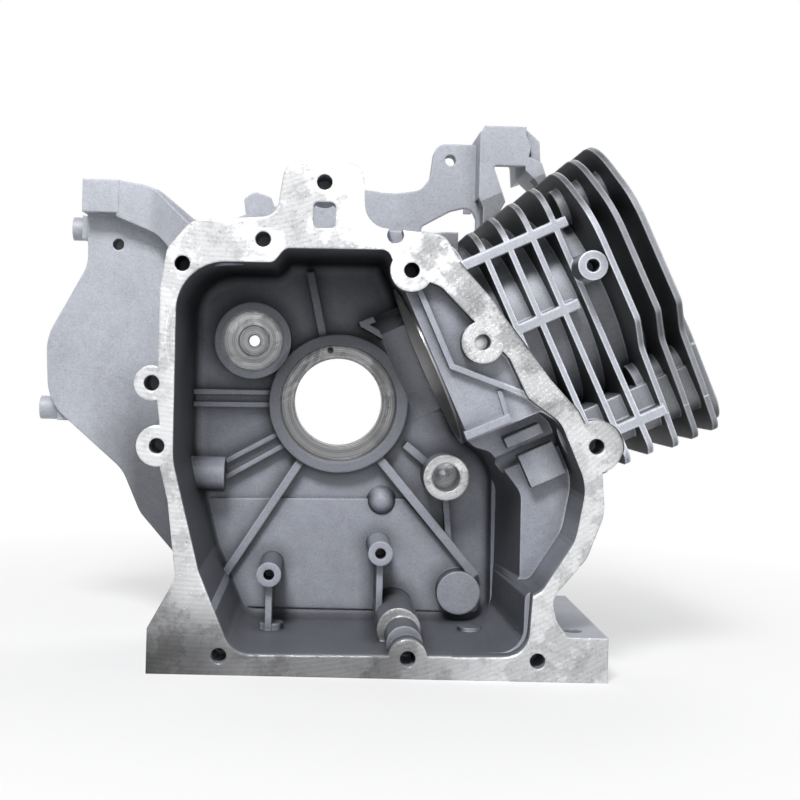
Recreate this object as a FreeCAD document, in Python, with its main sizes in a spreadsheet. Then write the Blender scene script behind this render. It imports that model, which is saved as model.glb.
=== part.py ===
import FreeCAD, Part

import math
import os
import re
from types import SimpleNamespace

import Sketcher

# Crankcase and cylinder block of a single-cylinder engine, in millimetres.
# X runs to the right, seen from the open side. Y runs into the case, away from
# the cover. Z is up. The origin is on the crank axis, at the mouth of the main
# bearing seat. Depths are counted from the joint face of the cover.

doc = FreeCAD.newDocument("EngineCrankcase")
sheet = doc.addObject("Spreadsheet::Sheet", "Sizes")

# Driving dimensions
SIZES = {
    # case
    "cavity_depth": 98.0,
    "seat_stand": 10.0,
    "side_wall": 7.0,
    "rear_wall": 8.0,
    "flange_depth": 12.0,
    "band_rise": 1.5,
    "band_start": 42.0,
    "band_end": 71.0,
    "floor_fillet": 8.0,
    "crank_height": 136.5,
    "overcut": 1.0,
    # base
    "base_left": 95.3,
    "base_right": 140.0,
    "base_depth": 118.0,
    "base_slab": 8.0,
    "foot_height": 23.0,
    "foot_width_left": 34.0,
    "foot_width_right": 34.0,
    "foot_hole_r": 5.25,
    "foot_hole_pitch_x": 209.0,
    "foot_hole_pitch_y": 84.0,
    "foot_hole_mid_x": 20.0,
    "foot_hole_front": 17.0,
    # filler boss and ring boss on top of the drum
    "filler_x": -61.0,
    "filler_y": 17.6,
    "filler_r": 15.0,
    "filler_hole_r": 8.7,
    "filler_bottom": 64.0,
    "filler_top": 95.0,
    "ring_x": -20.0,
    "ring_y": 94.0,
    "ring_r": 7.0,
    "ring_hole_r": 4.2,
    "ring_hole_depth": 16.0,
    "ring_bottom": 68.0,
    "ring_top": 100.0,
    # main bearing
    "seat_r": 34.0,
    "seat_depth": 16.0,
    "seat_boss_r": 40.0,
    "seal_r": 26.0,
    "outer_boss_r": 43.0,
    "outer_boss_length": 16.0,
    # balancer shaft
    "balancer_x": -50.2,
    "balancer_z": 35.2,
    "balancer_r": 17.5,
    "balancer_depth": 11.0,
    "balancer_boss_r": 22.0,
    "balancer_boss_length": 14.0,
    "balancer_step_r": 9.0,
    "balancer_step_depth": 4.0,
    "balancer_hole_r": 3.3,
    # camshaft
    "cam_x": 62.1,
    "cam_z": -40.0,
    "cam_r": 8.0,
    "cam_depth": 22.0,
    "cam_boss_r": 13.0,
    "cam_boss_length": 25.0,
    # cylinder, along its own axis from the crank axis
    "cylinder_angle": 25.0,
    "cylinder_y": 61.6,
    "bore_r": 44.0,
    "liner_wall": 3.0,
    "barrel_wall": 6.0,
    "barrel_start": 42.0,
    "liner_start": 54.0,
    "liner_relief": 1.5,
    "panel_depth": 9.0,
    "lower_panel_rise": 2.0,
    "deck": 180.0,
    "head_flange": 7.0,
    "head_bolt_r": 4.3,
    "head_bolt_u": 50.0,
    "head_bolt_y": 40.0,
    "head_bolt_depth": 28.0,
    "head_bolt_wall": 6.0,
    "fin_first": 84.5,
    "fin_pitch": 12.85,
    "fin_thick": 3.0,
    "fin_drop": 0.218,
    "front_fin_first": 150.5,
    "front_fin_pitch": 11.2,
    "rail_thick": 5.5,
    "rail_front": -3.0,
    "rail_back": 22.0,
    "shoulder_start": 91.0,
    "shoulder_length": 7.5,
    "pushrod_r": 7.0,
    "pushrod_u": -63.0,
    "pushrod_first": 20.0,
    "pushrod_gap": 26.0,
    "tunnel_wall": 5.0,
    "tunnel_start": 70.0,
    "fin_boss_r": 7.4,
    "fin_boss_hole_r": 3.3,
    "fin_boss_a": 143.2,
    "fin_boss_u": 16.1,
    "fin_boss_front": -21.0,
    "fin_boss_length": 36.0,
    "fin_boss_hole_depth": 17.0,
    # tappet chest
    "chest_depth": 40.0,
    "side_depth": 90.0,
    "cover_room": 40.0,
    # governor shaft boss through the left wall
    "governor_r": 10.0,
    "governor_left": -95.0,
    "governor_length": 31.0,
    "governor_depth": 84.0,
    "governor_z": -42.0,
    # tapped bosses, stub, drain column, drain pads and dome inside
    "tap_boss_r": 6.8,
    "tap_hole_r": 3.0,
    "tap_hole_depth": 13.0,
    "tap_left_x": -36.3,
    "tap_left_z": -93.8,
    "tap_left_length": 46.0,
    "tap_right_x": 25.0,
    "tap_right_z": -81.1,
    "tap_right_length": 44.0,
    "stub_x": 71.7,
    "stub_z": -107.2,
    "stub_r": 12.4,
    "stub_length": 14.0,
    "drain_x": 34.8,
    "drain_z": -118.5,
    "drain_r": 11.8,
    "drain_start": 33.0,
    "neck_x": 36.5,
    "neck_z": -121.0,
    "neck_r": 9.5,
    "neck_start": 10.0,
    "pad_left_x": -34.5,
    "pad_right_x": 76.0,
    "pad_r": 6.5,
    "pad_depth": 65.0,
    "pad_bottom": -127.0,
    "pad_height": 5.0,
    "dome_x": 26.6,
    "dome_z": -56.4,
    "dome_r": 9.0,
    # oil hole of the seat and pocket in the edge of the flange
    "oil_hole_r": 1.5,
    "oil_hole_x": -5.5,
    "oil_hole_z": 30.9,
    "oil_hole_depth": 10.0,
    "pocket_r": 4.3,
    "pocket_x": 26.0,
    "pocket_z": 89.4,
    "pocket_depth": 8.0,
    # cover joint
    "joint_hole_r": 4.0,
    "joint_hole_depth": 22.0,
    "joint_boss_r": 9.0,
    "joint_boss_length": 26.0,
    "slot_width": 11.2,
    "slot_height": 13.4,
    "slot_x": -10.5,
    "slot_z": 98.7,
    # side plate and bracket on the left
    "plate_y": 109.0,
    "plate_thick": 5.0,
    "plate_hole_x": -132.8,
    "plate_hole_z": 90.5,
    "plate_hole_r": 3.4,
    "plate_hole_depth": 12.0,
    "pin_r": 7.0,
    "pin_depth": 124.0,
    "bracket_left": -152.3,
    "bracket_right": -131.2,
    "bracket_top": 127.0,
    "bracket_height": 19.0,
    "bracket_front": 95.0,
    "bracket_rear": 197.0,
    "bracket_hole_r": 3.4,
    "bracket_hole_front": 103.7,
    "bracket_hole_pitch": 84.0,
    "bracket_slot_width": 7.0,
    "bracket_slot_length": 56.0,
    "bracket_slot_depth": 13.0,
    # arch on the far side
    "arch_y": 128.0,
    "arch_wall": 5.0,
    "arch_rim_depth": 12.0,
    "arch_rim": 6.0,
    "shelf_top": 68.0,
    "shelf_thick": 7.0,
    "shelf_left": -60.0,
    "shelf_width": 110.0,
    "bar_width": 3.5,
    "bar_bottom": 62.0,
    "gate_thick": 9.0,
    "arm_boss_r": 9.0,
    "arm_boss_length": 24.0,
    "arm_boss_x": -92.0,
    "arm_boss_z": 92.0,
    "arm_boss_depth": 116.0,
    "window_depth": 30.0,
    "ear_hole_r": 3.3,
    "ear_hole_x": 65.0,
    "ear_hole_z": 149.0,
    # post on the right
    "post_left": 83.3,
    "post_right": 108.0,
    "post_top": 167.0,
    "post_front": 107.6,
    "post_rear": 197.5,
    "post_lean": 2.7,
    "post_side_height": 39.0,
    "post_wall": 5.0,
    "post_hole_r": 2.9,
    "post_hole_front": 126.4,
    "post_hole_pitch": 60.2,
    "leg_depth": 42.0,
}

for row, (name, value) in enumerate(SIZES.items(), start=1):
    sheet.set("A%d" % row, name)
    sheet.set("B%d" % row, str(value))
    sheet.setAlias("B%d" % row, name)
last_row = len(SIZES) + 1
sheet.set("A%d" % last_row, "joint_y")
sheet.set("B%d" % last_row, "=seat_stand - cavity_depth")
sheet.setAlias("B%d" % last_row, "joint_y")
doc.recompute()

NAMES = list(SIZES) + ["joint_y"]
v = SimpleNamespace(**{name: float(sheet.get(name)) for name in NAMES})
NAME_PATTERN = re.compile(r"\b(" + "|".join(sorted(NAMES, key=len, reverse=True)) + r")\b")
AXES = {
    "X": FreeCAD.Rotation(FreeCAD.Vector(0, 1, 0), 90),
    "-X": FreeCAD.Rotation(FreeCAD.Vector(0, 1, 0), -90),
    "Y": FreeCAD.Rotation(FreeCAD.Vector(1, 0, 0), -90),
    "Z": FreeCAD.Rotation(),
}
ALONG = FreeCAD.Vector(math.cos(math.radians(v.cylinder_angle)), 0, math.sin(math.radians(v.cylinder_angle)))
ACROSS = FreeCAD.Vector(-ALONG.z, 0, ALONG.x)


def bind(thing, **formulas):
    """Ties properties to the sheet. Two underscores stand for a dot."""
    for prop, formula in formulas.items():
        thing.setExpression(prop.replace("__", "."), NAME_PATTERN.sub(r"Sizes.\1", formula))
    return thing


def place(thing, x, y, z, axis="Z"):
    """Puts a piece at x, a depth y from the joint face, and z."""
    thing.Placement = FreeCAD.Placement(FreeCAD.Vector(), AXES[axis])
    return bind(thing, Placement__Base__x=x, Placement__Base__y="joint_y + " + y, Placement__Base__z=z)


def cylinder(name, radius, length, x, y, z, axis="Y"):
    thing = doc.addObject("Part::Cylinder", name)
    bind(thing, Radius=radius, Height=length)
    return place(thing, x, y, z, axis)


def cone(name, radius, end_radius, length, x, y, z, axis="Y"):
    thing = doc.addObject("Part::Cone", name)
    bind(thing, Radius1=radius, Radius2=end_radius, Height=length)
    return place(thing, x, y, z, axis)


def box(name, width, depth, height, x, y, z):
    thing = doc.addObject("Part::Box", name)
    bind(thing, Length=width, Width=depth, Height=height)
    return place(thing, x, y, z)


def rounded(corners):
    """Edges of a closed outline through corners of (x, y, radius)."""
    edges = []
    spans = []
    count = len(corners)
    for i, (x, y, radius) in enumerate(corners):
        here = FreeCAD.Vector(x, y, 0)
        before = FreeCAD.Vector(*corners[i - 1][:2], 0) - here
        after = FreeCAD.Vector(*corners[(i + 1) % count][:2], 0) - here
        half = before.getAngle(after) / 2
        reach = radius / math.tan(half)
        start = here + before.normalize() * reach
        end = here + after.normalize() * reach
        middle = here
        if radius > 0:
            inward = (before + after).normalize()
            middle = here + inward * (radius / math.sin(half) - radius)
        spans.append((start, middle, end))
    for i, (start, middle, end) in enumerate(spans):
        following = spans[(i + 1) % count][0]
        if (end - start).Length > 1e-6:
            edges.append(Part.Arc(start, middle, end))
        if (following - end).Length > 1e-6:
            edges.append(Part.LineSegment(end, following))
    return edges


def outline(name, corners, frame="XZ"):
    """A sketch of an outline. XZ faces the cover, XY lies flat, AU stands across the cylinder."""
    sketch = doc.addObject("Sketcher::SketchObject", name)
    sketch.addGeometry(rounded(corners), False)
    if frame == "XZ":
        sketch.Placement = FreeCAD.Placement(FreeCAD.Vector(), FreeCAD.Rotation(FreeCAD.Vector(1, 0, 0), 90))
    elif frame == "AU":
        turn = FreeCAD.Rotation(ACROSS, FreeCAD.Vector(0, 1, 0), ALONG * -1, "XYZ")
        sketch.Placement = FreeCAD.Placement(FreeCAD.Vector(), turn)
    return sketch


def extrude(name, sketch, direction, start, length):
    """Extrudes a sketch along a direction, from start to start plus length."""
    thing = doc.addObject("Part::Extrusion", name)
    thing.Base = sketch
    thing.DirMode = "Custom"
    thing.Dir = direction
    thing.Solid = True
    bind(thing, LengthFwd="%s + %s" % (start, length), LengthRev="-(%s)" % start)
    return thing


def slab(name, corners, y, depth):
    """A plate with an outline in X and Z, y deep from the joint face."""
    return extrude(name, outline(name + "Outline", corners), FreeCAD.Vector(0, 1, 0), "joint_y + " + y, depth)


def section(name, corners, y):
    """An outline at a depth y from the joint face, for a loft."""
    sketch = outline(name, corners)
    return bind(sketch, Placement__Base__y="joint_y + " + y)


def across(name, corners, start, length):
    """A plate that stands across the cylinder, with an outline of (up, depth from joint face)."""
    shifted = [(up, y + v.joint_y, radius) for up, y, radius in corners]
    return extrude(name, outline(name + "Outline", shifted, "AU"), ALONG, start, length)


def along(name, radius, start, length, up="0", y="cylinder_y"):
    """A cylinder along the cylinder's axis."""
    thing = doc.addObject("Part::Cylinder", name)
    thing.Placement = FreeCAD.Placement(FreeCAD.Vector(), FreeCAD.Rotation(FreeCAD.Vector(0, 0, 1), ALONG))
    bind(thing, Radius=radius, Height=length)
    return bind(
        thing,
        Placement__Base__x="(%s) * cos(cylinder_angle) - (%s) * sin(cylinder_angle)" % (start, up),
        Placement__Base__y="joint_y + " + y,
        Placement__Base__z="(%s) * sin(cylinder_angle) + (%s) * cos(cylinder_angle)" % (start, up),
    )


def fuse(name, shapes):
    """Joins the shapes of one group in one step."""
    joined = doc.addObject("Part::MultiFuse", name)
    joined.Shapes = shapes
    joined.Refine = False
    return joined


def fuse_in_turn(name, groups):
    """Joins groups one after the other, which stays sound where many walls meet."""
    joined = groups[0]
    for i, group in enumerate(groups[1:], start=1):
        step = doc.addObject("Part::Fuse", "%s%d" % (name, i))
        step.Base = joined
        step.Tool = group
        step.Refine = False
        joined = step
    return joined


def common(name, first, second):
    thing = doc.addObject("Part::MultiCommon", name)
    thing.Shapes = [first, second]
    return thing


def cut(name, base, tool):
    thing = doc.addObject("Part::Cut", name)
    thing.Base = base
    thing.Tool = tool
    return thing


# Outlines of the open side, clockwise from the upper left

OPENING = [
    (-85, 73.5, 25), (-36, 74, 5), (-30, 81.5, 5), (18, 82, 8), (24.5, 72.5, 6), (50, 64, 12),
    (86, 28, 6), (96, 8, 10), (113, -4, 14), (127, -36, 26), (122, -64, 20), (101, -90, 12),
    (99, -124, 13), (-52, -126, 14), (-70, -84, 16), (-84.5, -28, 40),
]
FLANGE = [
    (-95.3, -136.5, 1), (-95.3, -113.5, 3), (-81.5, -88, 8), (-88.5, -32, 14), (-93, 2, 10), (-93, 60, 12),
    (-90, 80, 10), (-78, 94, 8), (-35, 97.5, 9), (-31, 125.5, 9), (9, 125.5, 9), (10.5, 93.5, 12),
    (51, 90.5, 9), (59.5, 76, 12), (74, 60.5, 0), (107, 18, 0), (121, 3, 10), (134, -20, 10),
    (136.5, -50, 22), (128, -73, 16), (110.5, -94, 9), (113, -105, 5), (119, -113.5, 3), (140, -113.5, 1.5),
    (140, -136.5, 1),
]
MOUTH_TOP = (22.5, 82.0)
MOUTH_LOW = (67.6, -15.0)
DEEP = [
    (-85, 73.5, 25), (-36, 74, 5), (-30, 81.5, 5), (*MOUTH_TOP, 5), (*MOUTH_LOW, 3), (90, -33, 26),
    (91, -124, 14), (-52, -126, 14), (-70, -84, 16), (-84.5, -28, 40),
]
CHEST = [
    (64, -16.7, 1), (104, 1.2, 4), (113, -4, 12), (127, -36, 26), (122, -64, 20), (105, -91, 6), (66, -91, 4),
]
# The sloped wall between the deep space and the chest, at its mouth and at its bottom
SIDE_MOUTH = [
    (60, -15, 1), (84.5, -19.5, 8), (105.5, -43, 12), (106, -90, 3), (99, -94, 4), (98.5, -124, 13),
    (60, -125, 1),
]
SIDE_BOTTOM = [
    (60, -17, 1), (80, -26, 8), (92.5, -46, 12), (92.5, -90, 3), (92, -94, 4), (91.5, -121, 13),
    (60, -122, 1),
]


def case_body():
    """The drum with its raised band, the joint flange, the base and its feet."""
    opening = outline("OpeningOutline", OPENING)
    skin = doc.addObject("Part::Offset2D", "SkinOutline")
    skin.Source = opening
    bind(skin, Value="side_wall")
    band = doc.addObject("Part::Offset2D", "BandOutline")
    band.Source = opening
    bind(band, Value="side_wall + band_rise")
    into = FreeCAD.Vector(0, 1, 0)
    parts = [
        extrude("Drum", skin, into, "joint_y", "cavity_depth + rear_wall"),
        extrude("DrumBand", band, into, "joint_y + band_start", "band_end - band_start"),
        slab("Flange", FLANGE, "0", "flange_depth"),
        box("BaseSlab", "base_left + base_right", "base_depth", "base_slab", "-base_left", "0",
            "-crank_height"),
        box("FootLeft", "foot_width_left", "base_depth", "foot_height", "-base_left", "0", "-crank_height"),
        box("FootRight", "foot_width_right", "base_depth", "foot_height", "base_right - foot_width_right",
            "0",
            "-crank_height"),
    ]
    return parts


def cavity():
    """The inside: the mouth, the deep crank space with rounded bottom edges, and the tappet chest."""
    into = FreeCAD.Vector(0, 1, 0)
    front = extrude("Mouth", outline("MouthOutline", OPENING), into, "joint_y - overcut",
                    "panel_depth + overcut")
    deep = extrude("DeepBlock", outline("DeepOutline", DEEP), into, "joint_y - overcut",
                   "cavity_depth + overcut")
    doc.recompute()
    rounded_deep = doc.addObject("Part::Fillet", "DeepSpace")
    rounded_deep.Base = deep
    bottom = []
    for number, edge in enumerate(deep.Shape.Edges, start=1):
        box_of_edge = edge.BoundBox
        if box_of_edge.YMin > v.joint_y + v.cavity_depth - 0.01:
            bottom.append((number, v.floor_fillet, v.floor_fillet))
    rounded_deep.Edges = bottom
    chest = slab("Chest", CHEST, "-overcut", "chest_depth + overcut")
    side = doc.addObject("Part::Loft", "SlopedSide")
    side.Sections = [section("SideMouth", SIDE_MOUTH, "-overcut"), section("SideBottom", SIDE_BOTTOM,
                                                                           "side_depth")]
    side.Solid = True
    side.Ruled = True
    return fuse("Inside", [front, rounded_deep, chest, side])


def cover_space():
    """The space of the side cover, which nothing outside the case may reach into."""
    x, z, _ = JOINT_HOLES["F"]
    return [
        slab("CoverSpace", FLANGE, "-cover_room", "cover_room"),
        cylinder("CoverSpaceF", "joint_boss_r + " + BOSS_GROWTH["F"], "cover_room", str(x), "-cover_room",
                 str(z)),
    ]


# Cover bolts: X, Z and length of the boss behind the flange
JOINT_HOLES = {
    "A": (-82.1, 72.2, "joint_boss_length"), "B": (-41.4, 85.6, "joint_boss_length"),
    "C": (-10.8, 115.5, "joint_boss_length + 10"), "D": (34.8, 71.8, "joint_boss_length + 6"),
    "E": (72.1, 36.1, "joint_boss_length"), "F": (131.5, -15.8, "joint_boss_length"),
    "G": (104.0, -125.9, "joint_boss_length"), "H": (37.7, -126.2, "joint_boss_length"),
    "I": (-58.6, -126.7, "joint_boss_length"), "J": (-92.7, -20.9, "joint_boss_length"),
    "K": (-96.1, 11.0, "joint_boss_length"),
}
# Extra radius of some bosses, outside the case and inside it
BOSS_GROWTH = {"D": "2.5", "E": "2", "F": "4.5", "J": "1.5", "G": "-1.5", "I": "-1.5"}
LUG_GROWTH = {"D": "2", "E": "2", "H": "1"}


def joint_bosses():
    """A boss behind each cover bolt."""
    bosses = []
    for name, (x, z, length) in JOINT_HOLES.items():
        radius = "joint_boss_r + " + BOSS_GROWTH.get(name, "0")
        bosses.append(cylinder("JointBoss" + name, radius, length, str(x), "0", str(z)))
    return bosses


def inner_lugs():
    """The same bosses where they bulge into the mouth of the case."""
    lugs = []
    for name, growth in LUG_GROWTH.items():
        x, z, _ = JOINT_HOLES[name]
        lugs.append(cylinder("InnerLug" + name, "joint_boss_r + " + growth, "flange_depth", str(x), "0",
                             str(z)))
    return lugs


def joint_holes():
    """The tapped cover holes and the square slot under the top one."""
    holes = []
    for name, (x, z, _) in JOINT_HOLES.items():
        holes.append(cylinder("JointHole" + name, "joint_hole_r", "joint_hole_depth + overcut", str(x),
                              "-overcut",
                              str(z)))
    half_w, half_h = v.slot_width / 2, v.slot_height / 2
    x, z = v.slot_x, v.slot_z
    corners = [(x - half_w, z - half_h, 2.5), (x - half_w, z + half_h, 2.5), (x + half_w, z + half_h, 2.5),
               (x + half_w, z - half_h, 2.5)]
    holes.append(slab("Slot", corners, "-overcut", "flange_depth + 2 * overcut"))
    return holes


# Ribs on top of the drum: left end, depth, lower edge, then width, length and height
TOP_RIBS = {
    "FillerWeb": (-76, 0, 64, 30, 17.6, 31),
    "LongRib": (-34, 32, 75, 3.5, 64, 22),
    "SlotRibOne": (-4.5, 76, 75, 5, 28, 14),
    "SlotRibTwo": (10, 76, 75, 5, 42, 17),
    "RailFar": (14, 60, 72, 50, 3.5, 26),
    "RailNear": (14, 42, 72, 38, 3.5, 22),
}


def top_of_case():
    """What stands on the drum: the filler boss, the ring boss and straight ribs."""
    parts = [
        cylinder("OuterBoss", "outer_boss_r", "outer_boss_length", "0", "cavity_depth + rear_wall", "0"),
        cylinder("FillerBoss", "filler_r", "filler_top - filler_bottom", "filler_x", "filler_y",
                 "filler_bottom",
                 "Z"),
        cylinder("RingBoss", "ring_r", "ring_top - ring_bottom", "ring_x", "ring_y", "ring_bottom", "Z"),
    ]
    for name, (x, y, z, width, length, height) in TOP_RIBS.items():
        parts.append(box(name, str(width), str(length), str(height), str(x), str(y), str(z)))
    return parts


# Bosses on the rear wall: X, Z, radius and height
INNER_BOSSES = {
    "Balancer": ("balancer_x", "balancer_z", "balancer_boss_r", "balancer_boss_length"),
    "Cam": ("cam_x", "cam_z", "cam_boss_r", "cam_boss_length"),
    "TapLeft": ("tap_left_x", "tap_left_z", "tap_boss_r", "tap_left_length"),
    "TapRight": ("tap_right_x", "tap_right_z", "tap_boss_r", "tap_right_length"),
    "Stub": ("stub_x", "stub_z", "stub_r", "stub_length"),
}

# Webs from the tapped bosses down to the floor: left end, depth, lower edge, then width, length and height
BOSS_WEBS = {"TapLeftWeb": (-38, 58, -128, 3.5, 40, 34), "TapRightWeb": (23.3, 60, -122, 3.5, 38, 40)}

# Ribs inside: start and end in X and Z, width, height, and the depth of the wall that they stand on
INNER_RIBS = {
    "Top": ((-18.3, 76.0), (-9.6, 37.0), 4.5, 7.0, "cavity_depth"),
    "LeftUpper": ((-84.0, 4.8), (-38.0, 5.4), 2.8, 6.5, "cavity_depth"),
    "LeftLower": ((-84.0, -2.4), (-38.0, -1.8), 2.8, 6.5, "cavity_depth"),
    "LeftWeb": ((-84.0, 1.2), (-38.0, 1.8), 7.2, 3.0, "cavity_depth"),
    "LowUpper": ((-66.0, -36.0), (-33.0, -17.6), 2.8, 6.5, "cavity_depth"),
    "LowLower": ((-66.0, -45.4), (-31.0, -25.0), 2.8, 6.5, "cavity_depth"),
    "LowWeb": ((-66.0, -40.7), (-32.0, -21.3), 8.0, 3.0, "cavity_depth"),
    "Foot": ((-63.0, -100.0), (-20.0, -32.0), 4.5, 7.0, "cavity_depth"),
    "Right": ((22.0, -28.5), (82.0, -98.5), 5.0, 8.0, "cavity_depth"),
    "Short": ((39.4, -23.0), (55.0, -35.5), 4.5, 6.0, "cavity_depth"),
    "CamDown": ((63.5, -50.0), (64.5, -62.0), 3.5, 6.0, "cavity_depth"),
    "CamLow": ((64.5, -60.0), (66.5, -82.0), 3.5, 6.0, "cavity_depth"),
    "TroughTop": ((11.0, 45.5), (38.5, 57.0), 3.5, 22.0, "cavity_depth"),
    "TroughSide": ((37.5, 57.0), (47.5, 21.0), 3.5, 22.0, "cavity_depth"),
    "TroughLow": ((12.5, 46.0), (27.2, 38.0), 3.5, 22.0, "cavity_depth"),
    "PanelLong": ((37.5, 66.0), (57.4, 22.5), 3.0, 4.0, "panel_depth"),
    "PanelShort": ((56.6, 23.4), (98.0, 8.8), 3.0, 4.0, "panel_depth"),
    "PanelStep": ((82.0, 11.5), (86.7, -3.0), 2.5, 2.0, "panel_depth"),
    "PanelLip": ((64.8, -12.4), (88.0, -2.2), 4.5, 3.5, "panel_depth"),
}
# Tappet blocks in the chest: height across the cylinder from and to, depth, start and length along it
TAPPET_BLOCKS = {"High": (-56, -50, 28, 73.5, 20.5), "Low": (-81, -62, 31, 77, 20)}
LOWER_PANEL = [(-74, -57.2, 1), (40, -55, 1), (84, -104, 1), (84, -120, 1), (-60, -120, 1)]


def inner_bosses():
    """Bosses that stand on the rear wall, towards the cover."""
    bosses = [cylinder("SeatBoss", "seat_boss_r", "seat_stand + rear_wall", "0", "cavity_depth - seat_stand",
                       "0")]
    for name, (x, z, radius, length) in INNER_BOSSES.items():
        bosses.append(cylinder(name + "Boss", radius, length + " + 2", x, "cavity_depth - (%s)" % length, z))
    bosses.append(cylinder("DrainNeck", "neck_r", "drain_start - neck_start + 1", "neck_x", "neck_start",
                           "neck_z"))
    bosses.append(cylinder("DrainColumn", "drain_r", "cavity_depth - drain_start + 2", "drain_x",
                           "drain_start",
                           "drain_z"))
    bosses.append(cylinder("GovernorBoss", "governor_r", "governor_length", "governor_left", "governor_depth",
                           "governor_z", "X"))
    for name, (x, y, z, width, length, height) in BOSS_WEBS.items():
        bosses.append(box(name, str(width), str(length), str(height), str(x), str(y), str(z)))
    for name, x in (("DrainPadLeft", "pad_left_x"), ("DrainPadRight", "pad_right_x")):
        bosses.append(cylinder(name, "pad_r", "pad_height", x, "pad_depth", "pad_bottom", "Z"))
    dome = doc.addObject("Part::Sphere", "Dome")
    bind(dome, Radius="dome_r")
    bosses.append(place(dome, "dome_x", "cavity_depth + 2", "dome_z"))
    return bosses


def inner_ribs():
    """Straight ribs, each a box turned to its run, the tappet blocks and the raised part of the rear wall."""
    ribs = []
    for name, ((x1, z1), (x2, z2), width, height, base) in INNER_RIBS.items():
        run = math.hypot(x2 - x1, z2 - z1)
        rib = doc.addObject("Part::Box", name + "Rib")
        bind(rib, Length=str(run), Width="%g + 2" % height, Height=str(width))
        turn = FreeCAD.Rotation(FreeCAD.Vector(0, 1, 0), -math.degrees(math.atan2(z2 - z1, x2 - x1)))
        start = turn.multVec(FreeCAD.Vector(0, 0, -width / 2)) + FreeCAD.Vector(x1, 0, z1)
        rib.Placement = FreeCAD.Placement(start, turn)
        bind(rib, Placement__Base__y="joint_y + %s - %g" % (base, height))
        ribs.append(rib)
    for name, (low, high, y, start, length) in TAPPET_BLOCKS.items():
        bottom = v.chest_depth + 2
        corners = [(low, bottom, 0), (low, y, 1), (high, y, 1), (high, bottom, 0)]
        ribs.append(across("TappetBlock" + name, corners, str(start), str(length)))
    ribs.append(slab("LowerPanel", LOWER_PANEL, "cavity_depth - lower_panel_rise", "lower_panel_rise + 1"))
    return ribs


def bearing_cuts():
    """Seats and bores of the crank, the balancer shaft and the camshaft, and the small tapped holes."""
    front = "cavity_depth - seat_stand"
    balancer = "cavity_depth - balancer_boss_length"
    cam = "cavity_depth - cam_boss_length"
    cuts = [
        cylinder("Seat", "seat_r", "seat_depth + overcut", "0", front + " - overcut", "0"),
        cylinder("SealBore", "seal_r", "seat_stand + rear_wall + outer_boss_length + overcut", "0", front,
                 "0"),
        cylinder("BalancerSeat", "balancer_r", "balancer_depth + overcut", "balancer_x",
                 balancer + " - overcut",
                 "balancer_z"),
        cylinder("BalancerStep", "balancer_step_r", "balancer_depth + balancer_step_depth", "balancer_x",
                 balancer,
                 "balancer_z"),
        cylinder("BalancerHole", "balancer_hole_r", "balancer_boss_length + rear_wall + overcut",
                 "balancer_x",
                 balancer, "balancer_z"),
        cylinder("CamBore", "cam_r", "cam_depth + overcut", "cam_x", cam + " - overcut", "cam_z"),
        cone("CamPoint", "cam_r", "0", "cam_r / 2", "cam_x", cam + " + cam_depth", "cam_z"),
        cylinder("FillerHole", "filler_hole_r", "filler_top - filler_bottom", "filler_x", "filler_y",
                 "filler_bottom + overcut", "Z"),
        cylinder("RingHole", "ring_hole_r", "ring_hole_depth + overcut", "ring_x", "ring_y",
                 "ring_top - ring_hole_depth", "Z"),
        cylinder("OilHole", "oil_hole_r", "oil_hole_depth + overcut", "oil_hole_x",
                 front + " + seat_depth - overcut", "oil_hole_z"),
        cylinder("EdgePocket", "pocket_r", "pocket_depth + overcut", "pocket_x", "-overcut", "pocket_z"),
        cylinder("TapLeftHole", "tap_hole_r", "tap_hole_depth + overcut", "tap_left_x",
                 "cavity_depth - tap_left_length - overcut", "tap_left_z"),
        cylinder("TapRightHole", "tap_hole_r", "tap_hole_depth + overcut", "tap_right_x",
                 "cavity_depth - tap_right_length - overcut", "tap_right_z"),
    ]
    for side, x in (("Left", "foot_hole_mid_x - foot_hole_pitch_x / 2"),
                    ("Right", "foot_hole_mid_x + foot_hole_pitch_x / 2")):
        for end, y in (("Front", "foot_hole_front"), ("Rear", "foot_hole_front + foot_hole_pitch_y")):
            cuts.append(cylinder("FootHole" + side + end, "foot_hole_r", "foot_height + 2 * overcut", x, y,
                                 "-crank_height - overcut", "Z"))
    return cuts


# Outlines across the cylinder: height across its axis, depth from the joint face, corner radius
REAR_FIN = [(-85, 119, 10), (-85, 4, 10), (-80, -3, 6), (68, -3, 16), (75, 16, 24), (75, 122, 14)]
FRONT_FIN = [(-88, 119, 12), (-88, 6, 10), (-62, -2, 14), (-32, -8, 10), (-17, -24, 6), (38, -24, 34),
             (75, 6, 42), (75, 122, 14)]
HEAD = [(-84, 116, 16), (-84, 6, 16), (-34, -1, 24), (30, 4, 24), (70, 14, 26), (70, 117, 16)]

SHOULDER = [(-36, 22, 0), (-36, 9, 0), (-14, 9, 0), (-14, 22, 0)]

# Rails that tie the fins together: height across the cylinder, start and length along it
RAILS = {"RailUpper": (42, 84, 60), "RailMiddle": (1, 92, 41), "RailLower": (-66, 112, 40)}


def fin(name, corners, start):
    """A cooling fin. Fins are lower the further they stand from the head."""
    drop = (v.deck - start) * v.fin_drop
    lowered = [(up - drop if up > v.bore_r else up, y, radius) for up, y, radius in corners]
    return across(name, lowered, str(start), "fin_thick")


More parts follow.
